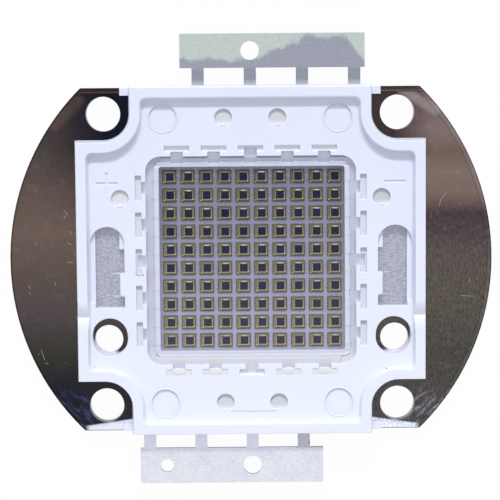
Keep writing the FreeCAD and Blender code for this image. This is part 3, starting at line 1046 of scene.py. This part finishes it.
def carrierMaterial():
    material, tree, shader = newMaterial("gilded carrier")
    x, y = objectAxes(tree)[:2]
    spans = chipLook["spans"]
    toEdgeX = minus(layout["carrierLength"] / 2, absOf(localPlace(x, layout["arrayX"])))
    toEdgeY = minus(layout["carrierWidth"] / 2, absOf(localPlace(y, layout["arrayY"])))
    line = span(mathNode("MINIMUM", toEdgeX, toEdgeY), spans["carrierLine"])
    grain = grainAt(tree, *chipLook["carrierGrain"])[0]
    # painted shade: the carriers are darker towards the top rows and lighter towards the bottom
    gilt = mix(span(y, spans["down"]), chipLook["carrierTopTone"], chipLook["carrierLowTone"])
    gilt = tint(gilt, ramp(grain, chipLook["carrierMottle"]))
    setShader(shader, {
        "Base Color": mix(line, gilt, chipLook["carrierLine"]),
        "Normal": bumpFrom(grain, *chipLook["carrierBump"]),
        **chipLook["carrierFinish"],
    })
    return material


def chipRingMaterial():
    material, tree, shader = newMaterial("chip border metal")
    x, y = objectAxes(tree)[:2]
    spans = chipLook["spans"]
    grain = grainAt(tree, *chipLook["ringGrain"])[0]
    # painted shade: the border metal is darker towards the top rows and lighter towards the bottom
    colour = mix(span(y, spans["down"]), chipLook["ringTopTone"], chipLook["ringLowTone"])
    colour = tint(colour, ramp(grain, chipLook["ringMottle"]))
    # pale glint in the middle of most upper borders
    across = absOf(localPlace(x, layout["arrayX"] + layout["chipShift"]))
    along = localPlace(y, layout["arrayY"])
    upper = above(along, chipLook["borderStart"])
    lower = under(along, -chipLook["borderStart"])
    # painted light and shade: the upper border of each chip is darker and the lower one lighter, as the light
    # falls
    colour = mix(upper, colour, tint(colour, chipLook["upperBorderShade"]))
    colour = mix(lower, colour, tint(colour, chipLook["lowerBorderLight"]))
    chosen = above(cellValue(x, y), chipLook["glintDraw"])
    colour = mix(times(span(across, spans["glint"]), upper, chosen), colour, chipLook["glint"])
    setShader(shader, {"Base Color": colour, **chipLook["ringFinish"]})
    return material


def chipWindowMaterial():
    material, tree, shader = newMaterial("dark chip window")
    x, y = objectAxes(tree)[:2]
    tone = ramp(cellValue(x, y), chipLook["windowTones"])
    # painted light: the windows grow lighter towards the bottom rows
    tone = mix(span(y, chipLook["spans"]["lowRowsLight"]), tone, chipLook["windowLowLight"])
    grain = grainAt(tree, *chipLook["windowGrain"])[0]
    colour = tint(tone, ramp(grain, chipLook["windowMottle"]))
    setShader(shader, {"Base Color": colour, **chipLook["windowFinish"]})
    return material


def carrierModel():
    bottom, top = layout["carrierBottom"], layout["carrierTop"]
    piece = addBox((0, 0, (bottom + top) / 2), (layout["carrierLength"], layout["carrierWidth"], top - bottom))
    bevelEdges(piece, chipLook["carrierEdge"], chipLook["carrierSegments"])
    return piece


def chipModel():
    bottom, top, side = layout["carrierTop"], layout["chipTop"], layout["chipSide"]
    piece = addBox((layout["chipShift"], 0, (bottom + top) / 2), (side, side, top - bottom))
    slope = chipLook["ringWidth"] * chipLook["ringSlope"]
    selectFaces(piece, facesUp)
    bpy.ops.mesh.inset(thickness=slope, depth=0)
    bpy.ops.transform.translate(value=(0, 0, chipLook["ringRise"]))
    bpy.ops.mesh.inset(thickness=chipLook["ringWidth"] - slope, depth=0)
    bpy.ops.mesh.inset(thickness=meshCare["hair"], depth=-chipLook["windowDrop"])
    bpy.ops.object.mode_set(mode="OBJECT")
    return piece


def rowPlaces(row):
    y = layout["arrayY"] + ((layout["rows"] - 1) / 2 - row) * layout["pitch"]
    first = layout["arrayX"] - (layout["chipsInRow"] - 1) * layout["pitch"] / 2
    return [(first + i * layout["pitch"], y) for i in range(layout["chipsInRow"])]


def buildChips():
    carrierLook = carrierMaterial()
    ringLook = chipRingMaterial()
    windowLook = chipWindowMaterial()
    carrier = carrierModel()
    chip = chipModel()
    carrier.data.materials.append(carrierLook)
    chip.data.materials.append(ringLook)
    chip.data.materials.append(windowLook)
    smallest = (layout["chipSide"] * chipLook["windowShare"]) ** 2
    window = max(face.index for face in chip.data.polygons if facesUp(face) and face.area > smallest)
    chip.data.polygons[window].material_index = 1
    for row in range(layout["rows"]):
        number = "%02d" % (row + 1)
        for model, pieceName, slotName, nodeName in (
            (carrier, "carrierRow", "gilded_carrier", "carrier_row_"),
            (chip, "chipRow", "dark_chip", "chip_row_"),
        ):
            copies = []
            for x, y in rowPlaces(row):
                copy = linked(model.data.copy(), pieceName + "Copy")
                copy.data.transform(Matrix.Translation((x, y, 0)))
                copies.append(copy)
            finishPiece(joinPieces(copies, pieceName + number), [nodeName + number])
    bpy.data.objects.remove(carrier)
    bpy.data.objects.remove(chip)


# Gold bond wires

wires = {
    "radius": 0.012 * mm,
    "line": 0.45 * mm,
    "rise": 0.2 * mm,
    "overRing": 0.1 * mm,
    "fromCarrier": 0.2 * mm,
    "fromChip": 0.07 * mm,
    "fromRing": 0.3 * mm,
    "ballRadius": 0.085 * mm,
    "ballShape": (1, 1, 0.6),
    "ballSegments": (8, 5),
    "stepsPerPoint": 4,
    "cornersAround": 1,
    "bondDrop": 0.17 * mm,
    "scales": (9000.0, 1500.0),
    "wireStops": ((0.3, srgb(158, 140, 104)), (0.7, srgb(196, 182, 144))),
    "wireFinish": {"Metallic": 0.6, "Roughness": 0.3},
    "bondStops": ((0.0, srgb(196, 182, 144)), (1.0, srgb(206, 188, 122))),
    "sheetBondGlintStops": ((0.0, srgb(182, 178, 168)), (1.0, srgb(232, 232, 226))),
    "bondFinish": {"Metallic": 0.3, "Roughness": 0.3},
}


def wireCurve(points, name, radius):
    bpy.ops.curve.primitive_bezier_curve_add()
    piece = bpy.context.active_object
    piece.location = (0, 0, 0)
    curve = piece.data
    spline = curve.splines[0]
    spline.bezier_points.add(len(points) - 2)
    for bezier, place in zip(spline.bezier_points, points):
        bezier.co = place
        bezier.handle_left_type = "AUTO"
        bezier.handle_right_type = "AUTO"
    curve.dimensions = "3D"
    curve.resolution_u = wires["stepsPerPoint"]
    curve.bevel_depth = radius
    curve.bevel_resolution = wires["cornersAround"]
    curve.use_fill_caps = True
    piece.name = name
    return piece


def wireMeshes(routes, name, radius, material):
    curves = [wireCurve(route, name, radius) for route in routes]
    selectTogether(curves)
    bpy.ops.object.convert(target="MESH")
    whole = joinPieces(curves, name)
    dress(whole, material)
    return whole


def wireRoutes(places, y):
    # from the left band, from chip to chip and to the right band
    low = y - wires["bondDrop"]
    landing = -layout["carrierLength"] / 2 + wires["fromCarrier"]
    chipEdge = layout["chipShift"] + layout["chipSide"] / 2 - wires["fromChip"]
    foot = layout["ringReach"] + wires["fromRing"]
    overRing = layout["ringTop"] + wires["overRing"]
    middle, sheet, ring, well = (layout[name] for name in ("arrayX", "sheetTop", "ringReach", "wellReach"))
    chipTop, carrierTop = layout["chipTop"], layout["carrierTop"]
    routes = [
        [(middle - foot, y, sheet), (middle - ring, y, overRing), (middle - well, y, overRing),
         (places[0] + landing, low, carrierTop)],
        [(places[-1] + chipEdge, y, chipTop), (middle + well, y, overRing), (middle + ring, y, overRing),
         (middle + foot, y, sheet)],
    ]
    for x, following in zip(places, places[1:]):
        start, end = x + chipEdge, following + landing
        peak = ((2 * start + end) / 3, y, chipTop + wires["rise"])
        routes.append([(start, y, chipTop), peak, (end, low, carrierTop)])
    return routes


def buildWires():
    gold = cloudyMaterial("gold wire", wires["scales"], wires["wireStops"], wires["wireFinish"])
    bondLook = cloudyMaterial("gold bond", wires["scales"], wires["bondStops"], wires["bondFinish"])
    sheetBondLook = cloudyMaterial("pale bond", wires["scales"], wires["sheetBondGlintStops"], wires["bondFinish"])
    for row in range(layout["rows"]):
        places = rowPlaces(row)
        routes = wireRoutes([place[0] for place in places], places[0][1] - wires["line"])
        number = "%02d" % (row + 1)
        name = "bondWireRow" + number
        pieces = [wireMeshes(routes, name, wires["radius"], gold)]
        for route in routes:
            for end in (route[0], route[-1]):
                # the balls on the sheets are painted pale, a painted highlight standing in for their glints
                onSheet = abs(end[2] - layout["sheetTop"]) < meshCare["hair"]
                look = sheetBondLook if onSheet else bondLook
                pieces.append(addSphere(wires["ballSegments"], wires["ballRadius"], end, wires["ballShape"], look))
        finishJoined(pieces, name, ["bond_wire_row_" + number])


# Stray curls of gold wire, left on the moulding beside the window

flecks = {
    "thickness": 0.05 * mm,
    "curls": (
        ((-13.35, -1.38, 3.28), (-13.0, -1.5, 3.3), (-12.72, -1.46, 3.28), (-12.42, -1.56, 3.26)),
        ((-12.12, -1.36, 3.1), (-11.98, -1.6, 3.12), (-12.12, -1.8, 3.08), (-11.98, -2.0, 3.0))),
    "scales": (9000.0, 2600.0),
    "stops": ((0.35, srgb(150, 116, 62)), (0.65, srgb(206, 176, 112))),
    "finish": {"Metallic": 0.5, "Roughness": 0.35},
}


def buildFlecks():
    look = cloudyMaterial("stray gold", flecks["scales"], flecks["stops"], flecks["finish"])
    routes = [[tuple(value * mm for value in place) for place in curl] for curl in flecks["curls"]]
    finishSmooth(wireMeshes(routes, "goldFlecks", flecks["thickness"], look), [])


# Clear silicone

silicone = {
    "bottom": 1.49 * mm,
    "wallGap": 0.008 * mm,
    "flatAngle": 1,
    "climb": 0.03 * mm,
    "climbWidth": 0.26 * mm,
    "climbSteps": ((0.4, 0.7), (0.6, 0.3)),
    "finish": {"Base Color": (0.97, 0.97, 1.0), "Transmission Weight": 1.0, "Roughness": 0.02, "IOR": 1.05},
    "waves": (500.0, 180.0),
    "bump": (0.1, 0.1 * mm),
    "beadPlaces": (-8.48, -4.24, 4.24, 8.48),
    "beadRow": -12.965 * mm,
    "beadSize": (2.94 * mm, 0.77 * mm, 0.34 * mm),
    "beadRounding": 0.05 * mm,
    "beadSegments": 3,
    "domeRow": -12.82 * mm,
    "domeSize": (0.8 * mm, 0.42 * mm, 0.07 * mm),
    "domeSegments": (24, 12),
    "beadScales": (2600.0, 500.0),
    "beadStops": ((0.0, srgb(217, 220, 226)), (1.0, srgb(228, 231, 237))),
    "beadFinish": {"Roughness": 0.3},
}


def siliconeMaterial():
    material, tree, shader = newMaterial("clear silicone")
    waves = grainAt(tree, *silicone["waves"])[1]
    setShader(shader, {"Normal": bumpFrom(waves, *silicone["bump"]), **silicone["finish"]})
    # lets light through to the chips and back unbroken
    path = newNode(tree, "LightPath", {}).outputs
    clear = newNode(tree, "BsdfTransparent", {})
    mixShaders(tree, minus(1.0, path["Is Camera Ray"]), shader, clear)
    return material


def buildSilicone():
    piece = mergedCopy("encapsulant", "siliconeFill")
    surface = layout["fillTop"] - meshCare["hair"]
    # only the outline of its top is kept, drawn in a little and pulled down to the well's floor
    selectFaces(piece, lambda face: face.center.z < surface or not facesUp(face))
    bpy.ops.mesh.delete(type="FACE")
    bpy.ops.mesh.select_all(action="SELECT")
    bpy.ops.mesh.dissolve_limited(angle_limit=math.radians(silicone["flatAngle"]))
    bpy.ops.mesh.inset(thickness=silicone["wallGap"])
    bpy.ops.mesh.select_all(action="INVERT")
    bpy.ops.mesh.delete(type="FACE")
    bpy.ops.mesh.select_all(action="SELECT")
    depth = silicone["bottom"] - layout["fillTop"]
    bpy.ops.mesh.extrude_region_move(TRANSFORM_OT_translate={"value": (0, 0, depth)})
    bpy.ops.mesh.select_all(action="SELECT")
    bpy.ops.mesh.normals_make_consistent(inside=False)
    selectFaces(piece, facesUp)
    for width, depth in silicone["climbSteps"]:
        bpy.ops.mesh.inset(thickness=silicone["climbWidth"] * width, depth=-silicone["climb"] * depth)
    bpy.ops.object.mode_set(mode="OBJECT")
    for vertex in piece.data.vertices:
        if vertex.co.z > layout["sheetTop"]:
            vertex.co.z += silicone["climb"]
    smoothSettled(piece)
    dress(piece, siliconeMaterial())
    finishPiece(piece, ["encapsulant"])


def buildBeads():
    # silicone that filled the lower cross bars and stands up in a low dome over each stem's end
    look = cloudyMaterial("silicone bead", silicone["beadScales"], silicone["beadStops"], silicone["beadFinish"])
    pieces = []
    height = silicone["beadSize"][2]
    for x in silicone["beadPlaces"]:
        fill = addBox((x * mm, silicone["beadRow"], layout["barFloor"] + height / 2), silicone["beadSize"])
        bevelEdges(fill, silicone["beadRounding"], silicone["beadSegments"])
        fill.data.materials.append(look)
        top = (x * mm, silicone["domeRow"], layout["barFloor"] + height)
        pieces += [fill, addSphere(silicone["domeSegments"], 1, top, silicone["domeSize"], look)]
    finishJoined(pieces, "siliconeBeads", [])


# Floor, lamps and camera

studio = {
    "floorSize": 2.0,
    "floorDrop": 0.01 * mm,
    "floorScales": (900.0, 20.0),
    "floorStops": ((0.0, (0.86, 0.86, 0.87)), (1.0, grey(0.88))),
    "floorRoughness": 0.9,
    "floorGlow": 0.97,
    "worldLight": 0.66,
    "keyPower": 14.4,
    "keySize": 0.15,
    "keyStretch": 4,
    "keyDistance": 1.5,
    "keyElevation": 41,
    "cameraPlace": (-1.371 * mm, 18.532 * mm, 200.901 * mm),
    "cameraTurns": (0.0871, 0.0062, 0.0083),
    "cameraReach": (0.01, 10),
    "sensor": 36,
    "lens": 123.93,
}


def buildFloor():
    bpy.ops.mesh.primitive_plane_add(size=studio["floorSize"], location=(0, 0, -studio["floorDrop"]))
    floor = bpy.context.active_object
    floor.name = "paleFloor"
    material, tree, shader = newMaterial("pale floor")
    clouds = grainAt(tree, *studio["floorScales"])[1]
    setShader(shader, {"Base Color": ramp(clouds, studio["floorStops"]), "Roughness": studio["floorRoughness"]})
    glow = newNode(tree, "Emission", {})
    path = newNode(tree, "LightPath", {}).outputs
    seen = larger(larger(path["Is Camera Ray"], path["Is Glossy Ray"]), path["Is Transmission Ray"])
    mixShaders(tree, times(seen, studio["floorGlow"]), shader, glow)
    floor.data.materials.append(material)


def buildWorld():
    world = bpy.data.worlds.new("studio")
    bpy.context.scene.world = world
    world.use_nodes = True
    tree = world.node_tree
    path = newNode(tree, "LightPath", {}).outputs
    seen = larger(path["Is Camera Ray"], path["Is Glossy Ray"])
    strength = newNode(tree, "MapRange", {"Value": seen, "To Min": studio["worldLight"], "To Max": 1.0})
    setShader(tree.nodes["Background"], {"Color": white, "Strength": strength.outputs["Result"]})


def buildKeyLamp():
    key = bpy.data.lights.new("keySoftbox", "AREA")
    key.shape = "RECTANGLE"
    key.size = studio["keySize"] * studio["keyStretch"]
    key.size_y = studio["keySize"]
    key.energy = studio["keyPower"]
    lamp = linked(key, "keySoftbox")
    rise = math.radians(studio["keyElevation"])
    aim = Vector((0, math.cos(rise), math.sin(rise)))
    lamp.location = aim * studio["keyDistance"]
    lamp.rotation_euler = aim.to_track_quat("Z", "Y").to_euler()


def buildCamera():
    camera = bpy.data.cameras.new("photoCamera")
    camera.sensor_width = studio["sensor"]
    camera.lens = studio["lens"]
    camera.clip_start, camera.clip_end = studio["cameraReach"]
    holder = linked(camera, "photoCamera")
    tiltX, tiltY, tiltZ = studio["cameraTurns"]
    turn = Matrix.Rotation(tiltZ, 3, "Z") @ Matrix.Rotation(tiltY, 3, "Y") @ Matrix.Rotation(tiltX, 3, "X")
    holder.matrix_world = Matrix.Translation(studio["cameraPlace"]) @ turn.transposed().to_4x4()
    bpy.context.scene.camera = holder
    bpy.context.scene.view_settings.view_transform = "Standard"


buildFloor()
buildWorld()
buildKeyLamp()
buildCamera()
print("studio ready")
easedCopy("base_plate", "basePlateEased", basePlate, basePlateMaterial())
buildLeads()
print("base plate and leads ready")
whitePlastic = mouldingMaterial()
easedCopy("moulded_frame", "mouldedFrameEased", moulding, whitePlastic)
buildLips(whitePlastic)
buildRidges(whitePlastic)
print("moulding ready")
buildChips()
buildWires()
buildFlecks()
print("array ready")
buildSilicone()
buildBeads()
print("silicone ready")
